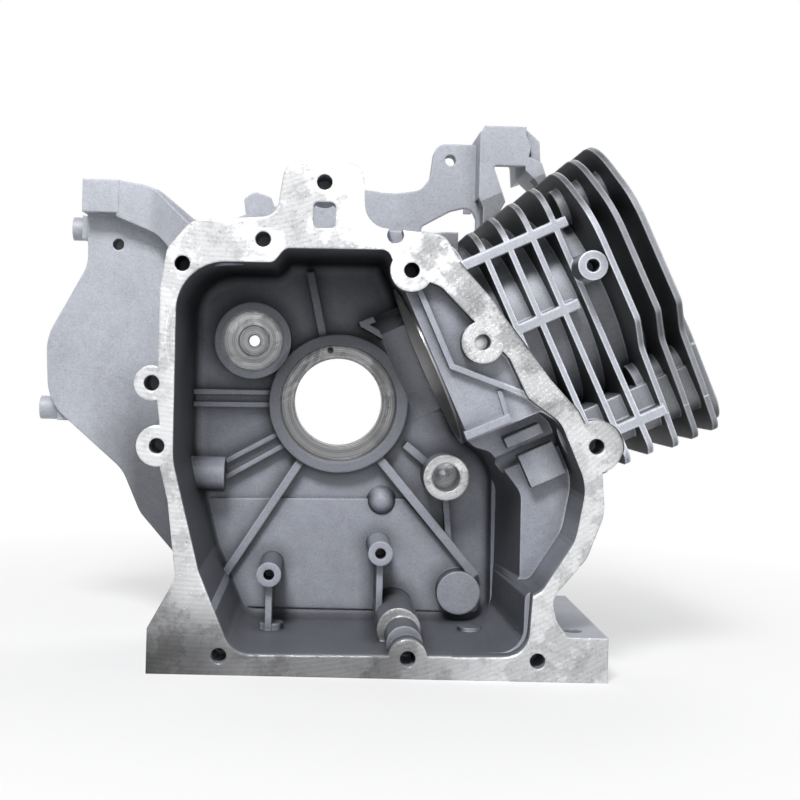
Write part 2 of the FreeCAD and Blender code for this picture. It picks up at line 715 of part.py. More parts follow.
def cylinder_block():
    """The barrel with its cooling fins, rails, pushrod tunnel, boss and head flange."""
    parts = [
        along("Barrel", "bore_r + liner_wall + barrel_wall", "barrel_start", "deck - barrel_start"),
        across("HeadFlange", HEAD, "deck - head_flange", "head_flange"),
        across("Shoulder", SHOULDER, "shoulder_start", "shoulder_length"),
    ]
    for i in range(5):
        parts.append(fin("RearFin%d" % (i + 1), REAR_FIN, v.fin_first + i * v.fin_pitch))
    for i in range(3):
        parts.append(fin("FrontFin%d" % (i + 1), FRONT_FIN, v.front_fin_first + i * v.front_fin_pitch))
    half = v.rail_thick / 2
    for name, (up, start, run) in RAILS.items():
        rail = [(up - half, v.rail_back, 0), (up - half, v.rail_front, 1), (up + half, v.rail_front, 1),
                (up + half, v.rail_back, 0)]
        parts.append(across(name, rail, str(start), str(run)))
    wall = v.pushrod_r + v.tunnel_wall
    tunnel = [(v.pushrod_u - wall, v.pushrod_first - wall, 8), (v.pushrod_u + wall, v.pushrod_first - wall,
                                                                0),
              (v.pushrod_u + wall, v.pushrod_first + v.pushrod_gap + wall, 0),
              (v.pushrod_u - wall, v.pushrod_first + v.pushrod_gap + wall, 8)]
    parts.append(across("PushrodTunnel", tunnel, "tunnel_start", "deck - 1 - tunnel_start"))
    for up in (-1, 1):
        for side in (-1, 1):
            parts.append(along("HeadBoltBoss%d%d" % (up + 1, side + 1), "head_bolt_r + head_bolt_wall",
                               "deck - head_bolt_depth - head_bolt_wall",
                               "head_bolt_depth + head_bolt_wall - 1",
                               "%d * head_bolt_u" % up, "cylinder_y + %d * head_bolt_y" % side))
    center = ALONG * v.fin_boss_a + ACROSS * v.fin_boss_u
    parts.append(cylinder("FinBoss", "fin_boss_r", "fin_boss_length", str(center.x), "fin_boss_front",
                          str(center.z)))
    return parts


def cylinder_cuts():
    center = ALONG * v.fin_boss_a + ACROSS * v.fin_boss_u
    cuts = [
        along("LinerBed", "bore_r + liner_wall", "liner_start", "deck"),
        along("LinerMouth", "bore_r + liner_relief", "barrel_start - 4", "liner_start - barrel_start + 8"),
        cylinder("FinBossHole", "fin_boss_hole_r", "fin_boss_hole_depth + overcut", str(center.x),
                 "fin_boss_front - overcut", str(center.z)),
    ]
    for up in (-1, 1):
        for side in (-1, 1):
            cuts.append(along("HeadBolt%d%d" % (up + 1, side + 1), "head_bolt_r", "deck - head_bolt_depth",
                              "head_bolt_depth + overcut",
                              "%d * head_bolt_u" % up, "cylinder_y + %d * head_bolt_y" % side))
    for i in range(2):
        cuts.append(along("Pushrod%d" % (i + 1), "pushrod_r", "tunnel_start - 4", "deck", "pushrod_u",
                          "pushrod_first + %d * pushrod_gap" % i))
    return cuts


SIDE_PLATE = [
    (-151.5, 110, 3), (-150.5, 78, 20), (-174, 34, 30), (-172, -4, 30), (-127, -43, 24), (-116, -68, 20),
    (-93, -94, 6), (-80, -94, 0), (-80, 100, 0), (-110, 124, 12), (-131, 127, 0), (-151.5, 127, 0),
]
# Pins of the side plate: left end, height and length, then left end and width of the web behind each
PLATE_PINS = {"PlatePinUpper": (-162, 100.4, 22, -155, 16), "PlatePinLower": (-179, -7.8, 24, -167, 14)}
ARM_FRONT = [(-133, 127, 2), (-112, 124, 16), (-90, 103, 24), (-77, 94, 14), (-42, 92, 2), (-42, 72, 2),
             (-86, 72, 14), (-108, 96, 20), (-133, 106, 2)]
ARM_PLAN = [(-133, 95, 2), (-112, 97, 12), (-80, 74, 20), (-48, 58, 4), (-42, 68, 4), (-76, 96, 16), (-100,
                                                                                                      114, 8),
            (-133, 114, 2)]


def left_side():
    """The flat side plate, the bracket for a tank and the curved arm down to the drum."""
    plan = [(x, y + v.joint_y, radius) for x, y, radius in ARM_PLAN]
    arm = common(
        "Arm",
        extrude("ArmFromFront", outline("ArmFrontOutline", ARM_FRONT), FreeCAD.Vector(0, 1, 0), "joint_y",
                "160"),
        extrude("ArmFromTop", outline("ArmPlanOutline", plan, "XY"), FreeCAD.Vector(0, 0, 1), "60", "80"),
    )
    width = "bracket_right - bracket_left"
    parts = [
        slab("SidePlate", SIDE_PLATE, "plate_y", "plate_thick"),
        box("Bracket", width, "bracket_rear - bracket_front", "bracket_height", "bracket_left",
            "bracket_front",
            "bracket_top - bracket_height"),
        arm,
        cylinder("PlateHoleBoss", "plate_hole_r + plate_thick", "plate_hole_depth + plate_thick",
                 "plate_hole_x",
                 "plate_y", "plate_hole_z"),
    ]
    for name, (left, z, length, web_left, web_width) in PLATE_PINS.items():
        parts.append(cylinder(name, "pin_r", str(length), str(left), "pin_depth", str(z), "X"))
        parts.append(box(name + "Web", str(web_width), "pin_depth - plate_y + 1", "2 * pin_r", str(web_left),
                         "plate_y + plate_thick - 2", "%g - pin_r" % z))
    return parts


def left_cuts():
    middle = "(bracket_left + bracket_right) / 2"
    cuts = [cylinder("PlateHole", "plate_hole_r", "plate_hole_depth + overcut", "plate_hole_x",
                     "plate_y - overcut",
                     "plate_hole_z")]
    for i in range(2):
        cuts.append(cylinder("BracketHole%d" % (i + 1), "bracket_hole_r", "bracket_height + 2 * overcut",
                             middle,
                             "bracket_hole_front + %d * bracket_hole_pitch" % i,
                             "bracket_top - bracket_height - overcut", "Z"))
    cuts.append(box("BracketSlot", "bracket_slot_width", "bracket_slot_length",
                    "bracket_slot_depth + overcut",
                    middle + " - bracket_slot_width / 2",
                    "bracket_hole_front + bracket_hole_pitch / 2 - bracket_slot_length / 2",
                    "bracket_top - bracket_slot_depth"))
    return cuts


ARCH = [
    (-93, 92, 4), (-78, 102, 20), (-62, 111.5, 14), (-47, 117, 20), (-20, 123, 30), (6, 130.5, 20),
    (29.6, 127.5, 40), (47, 130, 9), (53, 138, 6), (55.5, 158.8, 7), (90, 159, 0), (90, 72, 6), (52, 62, 8),
    (-60, 62, 10), (-93, 72, 6),
]
ARCH_INSIDE = [
    (-93, 84, 4), (-76, 94, 20), (-60, 105, 14), (-46, 110.5, 20), (-20, 116.5, 30), (6, 124, 20), (29.6,
                                                                                                    121, 40),
    (48, 123.5, 9), (56, 131, 6), (91, 131, 0), (91, 60, 0), (-93, 60, 0),
]
ARCH_WINDOWS = {
    "Oval": [(-31, 72, 3.4), (-31, 97, 3.4), (-24, 97, 3.4), (-24, 72, 3.4)],
    "One": [(-16, 75, 2.5), (-16, 97, 2.5), (-3, 97, 2.5), (-3, 75, 2.5)],
    "Two": [(4, 77, 2.5), (4, 97, 2.5), (17, 97, 2.5), (17, 77, 2.5)],
    "Hex": [(23, 71, 3), (23, 97, 3), (39, 97, 3), (39, 71, 3), (34, 66, 2), (28, 66, 2)],
    "Big": [(50, 76, 3), (48, 108, 4), (66, 118, 8), (78, 121, 6), (82, 112, 4), (82, 84, 5)],
}
GATE_STUB = [(-59, 112, 1), (-60.5, 122, 3), (-54, 126.5, 3.5), (-44, 123.5, 3), (-41.5, 117, 2), (-42, 112,
                                                                                                   1)]
ARCH_BARS = {"A": (-56, 104), "B": (-35.5, 101), "C": (0.5, 100), "D": (20, 99)}


def arch():
    """The wall with windows behind the case, its rim and the shelf that ties it to the drum."""
    parts = [
        slab("ArchWall", ARCH, "arch_y", "arch_wall"),
        box("Shelf", "shelf_width", "arch_y - cavity_depth", "shelf_thick", "shelf_left", "cavity_depth",
            "shelf_top - shelf_thick"),
    ]
    solid = slab("ArchRimBlock", ARCH, "arch_y", "arch_rim_depth")
    hollow = slab("ArchRimHollow", ARCH_INSIDE, "arch_y - overcut", "arch_rim_depth + 2 * overcut")
    parts.append(cut("ArchRim", solid, hollow))
    for name, (x, top) in ARCH_BARS.items():
        parts.append(box("ArchBar" + name, "bar_width", "6", "%g - bar_bottom" % top,
                         "%g - bar_width / 2" % x,
                         "arch_y - 5", "bar_bottom"))
    parts.append(cylinder("ArmBoss", "arm_boss_r", "arm_boss_length", "arm_boss_x", "arm_boss_depth",
                          "arm_boss_z"))
    parts.append(slab("GateStub", GATE_STUB, "arch_y", "gate_thick"))
    return parts


def arch_cuts():
    cuts = [slab("Window" + name, corners, "arch_y - 8", "window_depth") for name,
            corners in ARCH_WINDOWS.items()]
    cuts.append(cylinder("EarHole", "ear_hole_r", "window_depth", "ear_hole_x", "arch_y - 8", "ear_hole_z"))
    return cuts


LEFT_LEG = [(83.3, 160, 0), (83.3, 92, 0), (88.3, 84, 0), (88.3, 160, 0)]
RIGHT_LEG = [
    (108, 150, 0), (117.5, 146, 2), (121, 136, 4), (126, 92, 0), (120.5, 92, 0), (115.5, 134, 3),
    (108, 141, 3),
]
HEAD_SIDE = [(102.5, 164, 0), (108, 166.5, 0), (116.5, 159, 2), (117.5, 145, 1), (112, 143, 0), (111, 156, 3)]
POST_FACE = [
    (84, 167, 1.5), (106, 167, 1.5), (111, 155, 1.5), (108.5, 143.5, 1.5), (88.7, 143.5, 1.5), (96.5, 122, 1),
    (91, 112, 1), (86, 112, 1), (80.6, 124.5, 2), (80.6, 163, 1.5),
]


def post():
    """The channel-shaped post for a tank: a top plate on two legs, closed at its front."""
    width = "post_right - post_left"
    length = "post_rear - post_front"
    parts = [
        box("PostTop", width, length, "post_wall", "post_left", "post_front", "post_top - post_wall"),
        slab("PostFace", POST_FACE, "post_front", "post_wall"),
        box("PostSide", "post_wall", length, "post_side_height", "post_left - post_lean", "post_front",
            "post_top - post_wall + 1.5 - post_side_height"),
        slab("PostSlope", HEAD_SIDE, "post_front + post_wall - 1", length + " - post_wall + 1"),
        slab("PostLegLeft", LEFT_LEG, "post_front", "leg_depth"),
        slab("PostLegRight", RIGHT_LEG, "post_front", "leg_depth"),
    ]
    return parts


def post_cuts():
    cuts = []
    for i in range(2):
        cuts.append(cylinder("PostHole%d" % (i + 1), "post_hole_r", "post_wall + 2 * overcut",
                             "(post_left + post_right) / 2", "post_hole_front + %d * post_hole_pitch" % i,
                             "post_top - post_wall - overcut", "Z"))
    return cuts


def liner():
    """The iron cylinder liner that the block is cast around, turned about the cylinder's axis."""
    body = doc.addObject("PartDesign::Body", "LinerBody")
    sketch = body.newObject("Sketcher::SketchObject", "LinerSection")
    plane = [f for f in body.Origin.OriginFeatures if f.Role == "XZ_Plane"][0]
    sketch.AttachmentSupport = [(plane, "")]
    sketch.MapMode = "FlatFace"
    inner, outer = v.bore_r, v.bore_r + v.liner_wall
    corners = [(inner, v.liner_start), (outer, v.liner_start), (outer, v.deck), (inner, v.deck)]
    points = [FreeCAD.Vector(r, a, 0) for r, a in corners]
    for i in range(4):
        sketch.addGeometry(Part.LineSegment(points[i], points[(i + 1) % 4]), False)
    turned = body.newObject("PartDesign::Revolution", "LinerTurned")
    turned.Profile = sketch
    turned.ReferenceAxis = (sketch, ["V_Axis"])
    turned.Angle = 360
    body.Placement = FreeCAD.Placement(FreeCAD.Vector(), FreeCAD.Rotation(FreeCAD.Vector(0, 0, 1), ALONG))
    bind(body, Placement__Base__y="joint_y + cylinder_y")
    return body


def casting():
    """The whole block, cast as one piece and then machined."""
    inside_space = cavity()
    groups = [
        fuse("Body", case_body() + joint_bosses()), fuse("Top", top_of_case()),
        fuse("Block", cylinder_block()), fuse("LeftSide", left_side()), fuse("Arch", arch()),
        fuse("Post", post()),
    ]
    outside = fuse_in_turn("Outside", groups)
    hollow = cut("Hollow", outside, fuse("Spaces", [inside_space] + cover_space()))
    whole = fuse("Whole", [hollow] + inner_bosses() + inner_ribs() + inner_lugs())
    tools = fuse("Machining", joint_holes() + bearing_cuts() + cylinder_cuts() + left_cuts() + arch_cuts()
                 + post_cuts())
    block = cut("Crankcase", whole, tools)
    block.Label = "crankcase"
    return block


nodes = [casting(), liner()]
nodes[1].Label = "cylinder_liner"
doc.recompute()

for thing in doc.Objects:
    if "Invalid" in thing.State or "Error" in thing.State:
        raise RuntimeError("%s did not build: %s" % (thing.Name, thing.State))
os.makedirs("parts", exist_ok=True)
for node in nodes:
    if node.Shape.isNull() or not node.Shape.isValid():
        raise RuntimeError(node.Label + " has no valid shape")
    print(node.Label, len(node.Shape.Solids), "solids", round(node.Shape.Volume), "mm3", node.Shape.BoundBox)
    node.Shape.exportStep("parts/%s.step" % node.Label)
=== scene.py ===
import math

import bmesh
import bpy
from bpy.props import FloatProperty, FloatVectorProperty, PointerProperty
from mathutils import Matrix, Vector


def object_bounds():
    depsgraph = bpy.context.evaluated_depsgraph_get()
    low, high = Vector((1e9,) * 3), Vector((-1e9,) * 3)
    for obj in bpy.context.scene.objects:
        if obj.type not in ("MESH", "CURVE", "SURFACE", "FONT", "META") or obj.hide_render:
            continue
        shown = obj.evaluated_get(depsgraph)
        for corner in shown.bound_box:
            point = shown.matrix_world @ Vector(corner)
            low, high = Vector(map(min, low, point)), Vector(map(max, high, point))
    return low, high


# Looks of the crankcase: cast aluminium with machined faces, and the iron liner.
# The materials measure in millimetres, in the frame of the CAD model. The stage and the properties
# that a user changes are in metres.

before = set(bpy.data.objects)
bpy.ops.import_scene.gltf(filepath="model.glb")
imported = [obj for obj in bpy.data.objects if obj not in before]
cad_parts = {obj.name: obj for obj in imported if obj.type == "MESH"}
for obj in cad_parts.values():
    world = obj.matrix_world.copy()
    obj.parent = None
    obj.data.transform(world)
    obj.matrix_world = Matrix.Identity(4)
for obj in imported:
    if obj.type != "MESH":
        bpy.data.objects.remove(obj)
cad_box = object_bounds()

bl_info = {
    "name": "Crankcase looks",
    "version": (1, 0, 0),
    "blender": (4, 5, 0),
    "location": "View3D > Sidebar > Crankcase",
    "description": "Materials, light and camera for a cast engine crankcase",
    "category": "Material",
}

MM_PER_METRE = 1000.0

# Half width of the soft step at a mask's edge, and its share of the reach around a value
STEP = 0.02
REACH_STEP = 0.2

# Sockets of a Mix node for colours: its factor, its two colours and its result
MIX_FACTOR, MIX_FIRST, MIX_SECOND, MIX_RESULT = 0, 6, 7, 2

# Machined places of the CAD model: axes as x and z, radii, depths along y, and heights
TILT = math.radians(25.0)
CRANK = (0.0, 0.0)
SEAT_R = 34.0
BALANCER = (-50.2, 35.2)
BALANCER_R = 17.5
BALANCER_Y = -4.0
CAM = (62.1, -40.0)
CAM_R = 8.0
CAM_BOSS_R = 13.0
CAM_Y = -15.0
BORE_END = 12.0
DRAIN = (34.8, -118.5)
DRAIN_R = 11.8
DRAIN_Y = -55.0
JOINT_Y = -88.0
DECK = 180.0
BASE_Z = -136.5
BRACKET_TOP = 127.0

# How far a mask reaches past a machined bore or face, and how squarely a face looks along its axis
BORE_MARGIN = 0.08
FACE_MARGIN = 0.1
BOSS_MARGIN = 1.0
FLAT_FACING = 0.9

# The skin inside: everything in the core, and further out what faces the middle of the case
CASE_MIDDLE = (5.0, -25.0)
CORE_R = 88.0
INWARD = (-0.15, 0.1)
CASE_X = (-90.0, 131.0)
CASE_Z = (-129.0, 84.0)
FEET_TOP = -100.0
FEET_X = (-61.0, 103.0)
INSIDE_FRONT = (-86.0, 3.0)
REAR_WALL_Y = 10.0
REAR_WALL_REACH = 1.2
REAR_WALL_MARGIN = 0.4
INSIDE_END = (84.0, 4.0)

# Zones of the skin. A pair is an edge and the half width of its soft step, or a start and a length.
FRONT_FACING = (0.75, 0.2)
TOP_FACING = (0.5, 0.2)
ALONG_FACING = (0.8, 0.1)
# Where the fins get painted shade: the block, its back and top, the fins' sides, and the webs between the
# rails that get less of it
BLOCK_START = (86.0, 5.0)
BLOCK_BACK = 34.0
BLOCK_TOP = 76.0
WEB_TOP = (44.0, 4.0)
WEB_END = (150.0, 6.0)
WEB_SHARE = 0.6
HIGH_DEPTH = (-50.0, 25.0)
HIGH_RISE = (8.0, 62.0)
BOTTOM_TOP = (-85.0, 4.0)
HOLLOW_RUN = (-150.0, 32.0)
HOLLOW_DROP = (-30.0, 62.0)
HOLLOW_END = (-88.0, 4.0)
SEAT_BOSS = (42.0, 1.0)
MOUTH_START = (52.0, 8.0)
MOUTH_LOW = (-42.0, 6.0)
MOUTH_FRONT = (-38.0, 6.0)
# Painted shade in creases from ambient occlusion: its reach and samples, where the darkening starts and how
# wide its step is, its share outside and inside, and where the chest gets less of it and how much less
CREVICE_REACH = 10.0
CREVICE_SAMPLES = 2
CREVICE = (0.36, 0.24)
CREVICE_SHARE = (0.35, 0.80)
CHEST_START = (70.0, 8.0)
CHEST_SHARE = 0.62

# How much of the skin's brightness a zone takes away: painted shade in the zones inside the case and by the
# drum, and the dark specks of the cast skin
WALLS_SHADE = 0.80
BOTTOM_SHADE = 0.62
REAR_WALL_SHADE = 0.06
HIGH_SHADE = 0.70
HOLLOW_SHADE = 0.70
SEAT_BOSS_SHADE = 0.38
MOUTH_SHADE = 0.55
SPECK_SOOT = 0.12

# Noise: width of a lump, detail and roughness
COARSE = (26.0, 4.0, 0.5)
MEDIUM = (5.0, 4.0, 0.6)
GRAIN = (4.0, 0.65)
SPECKS = (1.7, 2.0, 0.5)
MARKS = (6.0, 3.0, 0.7)
CLOUDS = (34.0, 10.0, 0.70)
STAINS = (15.0, 8.0, 0.74)
PITS = (1.6, 3.0, 0.6)
SPARKS = (1.1, 2.0, 0.5)
BROAD = (95.0, 3.0, 0.5)
IRON_CLOUDS = (9.0, 4.0, 0.6)

# Steps that cut a mask out of a noise
SPECK_STEP = (0.66, 0.03)
CLOUD_STEP = (0.49, 0.022)
STAIN_STEP = (0.44, 0.05)
PIT_STEP = (0.62, 0.02)
SPARK_STEP = (0.60, 0.02)

# Brightness where a noise is zero and where it is one
COARSE_LEVEL = (0.82, 1.16)
MEDIUM_LEVEL = (0.84, 1.16)
GRAIN_LEVEL = (0.66, 1.34)
CLOUD_LEVEL = (0.76, 1.06)
STAIN_LEVEL = (0.78, 1.0)
MARK_LEVEL = (0.86, 1.10)
BROAD_LEVEL = (0.72, 1.16)
CROSS_LEVEL = (0.85, 1.08)
IRON_LEVEL = (0.8, 1.12)

# Lighter edges of the cast skin, partly wear and partly painted highlight: on its light places and on its
# dark ones; and painted light on the fins' front faces
BEVEL_SAMPLES = 4
EDGE_GAIN = 6.0
LIGHT_RIM = 0.45
DARK_RIM = 6.0
FIN_FRONT_LIGHT = 3.0

# Cut faces: milling arcs, turned rings, places with oil or wear, the darker seat bores, and painted
# highlights: glints in the worn patch and a light line along the cut edges
CUTTER = (-60.0, 210.0)
CUTTER_PITCH = 2.4
CUTTER_DEPTH = 0.05
TURNING_PITCH = 1.3
TURNING_WAVE = 4.3
TURNING_REACH = 40.0
TURNING_DEPTH = 0.16
SCRATCH_SCALE = (0.5, 1.0, 9.0)
OIL_LOW = (-108.0, 16.0)
OIL_RIGHT = (62.0, 34.0)
OIL_CORNER_LOW = (-84.0, 22.0)
OIL_CORNER_RIGHT = (-78.0, 10.0)
OIL_CORNER_SHARE = 0.7
OIL_SHARE = 0.66
FOOT_LOW = (-106.0, 12.0)
FOOT_RIGHT = (-58.0, 14.0)
FOOT_SHARE = 0.45
WORN = (88.0, 40.0)
WORN_R = (58.0, 24.0)
WORN_SHARE = 0.36
WORN_SPARKS = 0.40
EDGE_SPARKS = (0.15, 0.65)
PIT_SHARE = (0.35, 0.12)
SEAT_SHINE = 0.30
BALANCER_SHINE = 0.52

# Roughness, relief and metal of the cast skin and of the cut faces
SKIN_ROUGHNESS = (0.46, 0.62)
CUT_ROUGHNESS = (0.24, 0.38)
CLOUD_DULL = 0.14
STAIN_DULL = 0.08
GRAIN_RELIEF = (0.16, 0.02)
MEDIUM_RELIEF = (0.25, 0.04)
PIT_RELIEF = 0.10
RELIEF_STRENGTH = 0.6
RELIEF_HEIGHT = 1.0
SKIN_METAL = 0.25
INSIDE_METAL = 0.15
CUT_METAL = 0.85
SPECULAR = 0.35

# The honed bore
BORE_R = 44.0
BORE_Y = 26.4
HONE_RUN = 0.9
HONE_TURN = 0.45
HONE_STRENGTH = 0.3
HONE_HEIGHT = 0.05
IRON_ROUGHNESS = (0.24, 0.42)

# The floor's material, from its own colour near the part to white further out
WHITE = (1.0, 1.0, 1.0, 1.0)
FLOOR_ROUGHNESS = 0.9
FLOOR_MIDDLE = (20.0, 0.0)
FLOOR_FADE = (170.0, 330.0)
FLOOR_WHITE = (0.45, 1.0)

# The stage, in metres and watts. A lamp has its place, its two sides and its power.
SKY = (0.93, 0.96, 1.0, 1.0)
SKY_STRENGTH = 0.16
FLOOR_HALF = 3.0
LAMPS = {
    "key": ((-0.25, -1.05, 1.05), (0.4, 0.4), 21.0),
    "front": ((0.15, -1.5, 0.25), (0.5, 0.5), 1.8),
    "fill": ((1.2, -0.6, 0.4), (0.9, 0.9), 2.5),
    "rim": ((0.3, 1.0, 1.1), (1.2, 0.6), 8.0),
}

# Camera of the photograph: place in metres, turn, tilt and roll in radians
CAMERA_PLACE = (-0.00727, -0.7316, 0.0241)
CAMERA_TURN = (-0.01644, -0.00423, 0.02578)
CAMERA_SHIFT = (0.065, -0.054)
SENSOR = 36.0
CLIP_START = 0.01


class Num:
    """A number in a material, so that shader maths reads as ordinary maths."""

    def __init__(self, tree, source):
        self.tree = tree
        self.source = source

    def run(self, operation, *values, clamp=False):
        node = self.tree.nodes.new("ShaderNodeMath")
        node.operation = operation
        node.use_clamp = clamp
        for socket, value in zip(node.inputs, (self, *values)):
            if isinstance(value, Num):
                self.tree.links.new(value.source, socket)
            else:
                socket.default_value = value
        return Num(self.tree, node.outputs[0])

    def __add__(self, other):
        return self.run("ADD", other)

    def __radd__(self, other):
        return self.run("ADD", other)

    def __sub__(self, other):
        return self.run("SUBTRACT", other)

    def __rsub__(self, other):
        return (self * -1.0) + other

    def __mul__(self, other):
        return self.run("MULTIPLY", other)

    def __rmul__(self, other):
        return self.run("MULTIPLY", other)

    def __truediv__(self, other):
        return self.run("DIVIDE", other)

    def __neg__(self):
        return self * -1.0

    def abs(self):
        return self.run("ABSOLUTE")

    def sin(self):
        return self.run("SINE")

    def power(self, other):
        return self.run("POWER", other)

    def most(self, other):
        return self.run("MAXIMUM", other)

    def clamped(self):
        return self.run("ADD", 0.0, clamp=True)

    def above(self, edge, soft=STEP):
        """One where the number is above edge, zero below, with a soft step."""
        return ((self - (edge - soft)) / (2.0 * soft)).clamped()

    def below(self, edge, soft=STEP):
        return 1.0 - self.above(edge, soft)

    def near(self, value, reach):
        return (self - value).abs().below(reach, reach * REACH_STEP)


class Look:
    """The node tree of a material or a world, with one method that adds a node."""

    def __init__(self, owner):
        owner.use_nodes = True
        self.owner = owner
        self.tree = owner.node_tree
        self.tree.nodes.clear()

    def node(self, kind, settings=None, sockets=(), **inputs):
        """Adds a node. Its sockets are fed by their places in sockets, or by their names."""
        made = self.tree.nodes.new(kind)
        for key, value in (settings or {}).items():
            setattr(made, key, value)
        for place, value in dict(sockets).items():
            self.feed(made.inputs[place], value)
        for key, value in inputs.items():
            self.feed(made.inputs[key.replace("_", " ")], value)
        return made

    def feed(self, socket, value):
        if isinstance(value, Num):
            value = value.source
        if isinstance(value, bpy.types.NodeSocket):
            self.tree.links.new(value, socket)
        else:
            socket.default_value = value

    def number(self, socket):
        return Num(self.tree, socket)

    def place(self):
        """The point of the surface in millimetres, as a vector and as three numbers."""
        metres = self.node("ShaderNodeTexCoord").outputs["Object"]
        point = self.node("ShaderNodeVectorMath", {"operation": "SCALE"}, Vector=metres,
                          Scale=MM_PER_METRE).outputs[0]
        parts = self.node("ShaderNodeSeparateXYZ", Vector=point).outputs
        return point, self.number(parts[0]), self.number(parts[1]), self.number(parts[2])

    def true_normal(self):
        return self.node("ShaderNodeNewGeometry").outputs["True Normal"]

    def facing(self):
        """The true normal of the surface as three numbers."""
        parts = self.node("ShaderNodeSeparateXYZ", Vector=self.true_normal())
        return [self.number(part) for part in parts.outputs]

    def noise(self, point, size, detail, roughness):
        """Noise from zero to one whose lumps are about size millimetres wide."""
        made = self.node("ShaderNodeTexNoise", Vector=point, Scale=1.0 / size, Detail=detail,
                         Roughness=roughness)
        return self.number(made.outputs[0])

    def blend(self, amount, first, second):
        """A colour from first to second."""
        sockets = {MIX_FACTOR: amount, MIX_FIRST: first, MIX_SECOND: second}
        return self.node("ShaderNodeMix", {"data_type": "RGBA"}, sockets).outputs[MIX_RESULT]

    def tint(self, color, factor):
        """A colour times a number."""
        gray = self.node("ShaderNodeCombineColor", Red=factor, Green=factor, Blue=factor).outputs[0]
        settings = {"data_type": "RGBA", "blend_type": "MULTIPLY"}
        sockets = {MIX_FACTOR: 1.0, MIX_FIRST: color, MIX_SECOND: gray}
        return self.node("ShaderNodeMix", settings, sockets).outputs[MIX_RESULT]

    def mix(self, amount, first, second):
        """A shader between two shaders."""
        return self.node("ShaderNodeMixShader", None, {0: amount, 1: first, 2: second}).outputs[0]

    def relief(self, strength, distance, height, **inputs):
        """A normal that follows a height, whose whole range stands for distance millimetres."""
        made = self.node("ShaderNodeBump", Strength=strength, Distance=distance / MM_PER_METRE,
                         Height=height, **inputs)
        return made.outputs[0]


def finish(name):
    """A new material, as a look with its surface shader and its output."""
    look = Look(bpy.data.materials.new(name))
    look.surface = look.node("ShaderNodeBsdfPrincipled")
    look.out = look.node("ShaderNodeOutputMaterial", Surface=look.surface.outputs[0])
    return look


def ring(x, z, center):
    """Distance from an axis that runs along the crank."""
    dx, dz = x - center[0], z - center[1]
    return (dx * dx + dz * dz).power(0.5)


def tilted(x, z):
    """Distances along the cylinder and across it."""
    return x * math.cos(TILT) + z * math.sin(TILT), z * math.cos(TILT) - x * math.sin(TILT)


def lerp(amount, first, second):
    return first + (second - first) * amount


def rise(number, start, run):
    """Zero up to start, one from run further on, and even in between."""
    return ((number - start) / run).clamped()


def faded(*parts):
    """What is left of the brightness when each mask takes its share."""
    left = 1.0
    for mask, share in parts:
        left = (1.0 - mask * share) * left
    return left


def turned_rings(x, z, center):
    """Fine rings of a turned face near an axis, one elsewhere."""
    distance = ring(x, z, center)
    fine = (distance * (math.tau / TURNING_PITCH)).sin()
    wide = (distance * (math.tau / TURNING_WAVE)).sin()
    return 1.0 + (fine * 0.5 + wide * 0.5) * distance.below(TURNING_REACH) * TURNING_DEPTH


class CastingSizes(bpy.types.PropertyGroup):
    color: FloatVectorProperty(name="Cast colour", description="Colour of the cast skin", subtype="COLOR",
                               size=3, min=0.0, max=1.0, default=(0.40, 0.415, 0.46))
    # Painted shade: the inside colour is darker than the outer skin of the same metal
    inside: FloatVectorProperty(name="Inside colour", description="Colour of the cast skin inside the case, darker as painted shade",
                                subtype="COLOR", size=3, min=0.0, max=1.0, default=(0.33, 0.345, 0.395))
    # Painted shade: a near-black colour on the fins' sides that stands for the shade between them
    block: FloatVectorProperty(name="Painted fin shade colour", description="Colour painted on the fins' sides as shade",
                               subtype="COLOR", size=3, min=0.0, max=1.0, default=(0.058, 0.060, 0.065))
    machined: FloatVectorProperty(name="Machined colour", description="Colour of cut faces",
                                  subtype="COLOR", size=3, min=0.0, max=1.0, default=(0.71, 0.715, 0.73))
    edge: FloatProperty(name="Edge radius", description="How far cast edges look rounded", default=0.0016,
                        min=0.0, unit="LENGTH")
    grain: FloatProperty(name="Grain", description="Size of the cast grain", default=0.0009, min=0.0001,
                         unit="LENGTH")


class LinerSizes(bpy.types.PropertyGroup):
    color: FloatVectorProperty(name="Iron colour", description="Colour of the honed bore", subtype="COLOR",
                               size=3, min=0.0, max=1.0, default=(0.50, 0.50, 0.50))
    hone: FloatProperty(name="Honing", description="Distance between honing marks", default=0.0012,
                        min=0.0001, unit="LENGTH")


class StageSizes(bpy.types.PropertyGroup):
    floor: FloatVectorProperty(name="Floor colour", description="Colour of the floor", subtype="COLOR",
                               size=3, min=0.0, max=1.0, default=(0.86, 0.86, 0.86))
    lens: FloatProperty(name="Lens", description="Focal length of the camera on a 36 mm sensor",
                        default=56.9, min=1.0)
    strength: FloatProperty(name="Light", description="Strength of the lamps and the sky together",
                            default=1.0, min=0.0)


